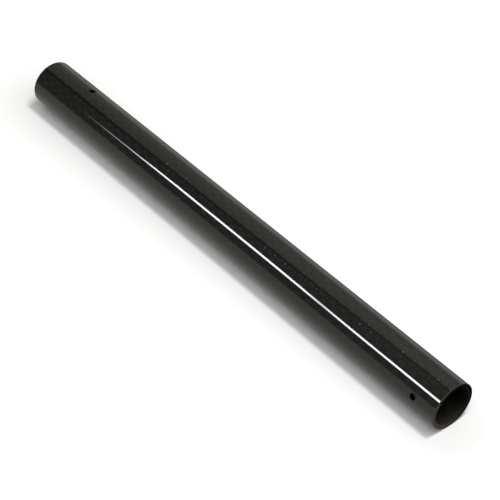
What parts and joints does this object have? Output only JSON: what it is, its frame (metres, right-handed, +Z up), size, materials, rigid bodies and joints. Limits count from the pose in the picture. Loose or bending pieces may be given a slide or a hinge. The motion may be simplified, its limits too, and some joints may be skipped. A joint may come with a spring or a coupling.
{
  "type": "carbon fibre tube",
  "caption": "Straight round tube of glossy woven carbon fibre laminate with square-cut open ends and a small cross hole near each end.",
  "frame": {"origin": "middle of the tube's length, on the floor straight under its axis", "axes": "+X along the tube towards the end whose cross hole is nearer to it, +Z up as the tube lies on the floor"},
  "size_m": [0.31, 0.025, 0.025],
  "materials": {
    "laminate": "woven carbon fibre in epoxy under a clear gloss coat, dull black inside and on the cut ends"
  },
  "bodies": {
    "root": {"tube": "laminate"}
  },
  "joints": []
}
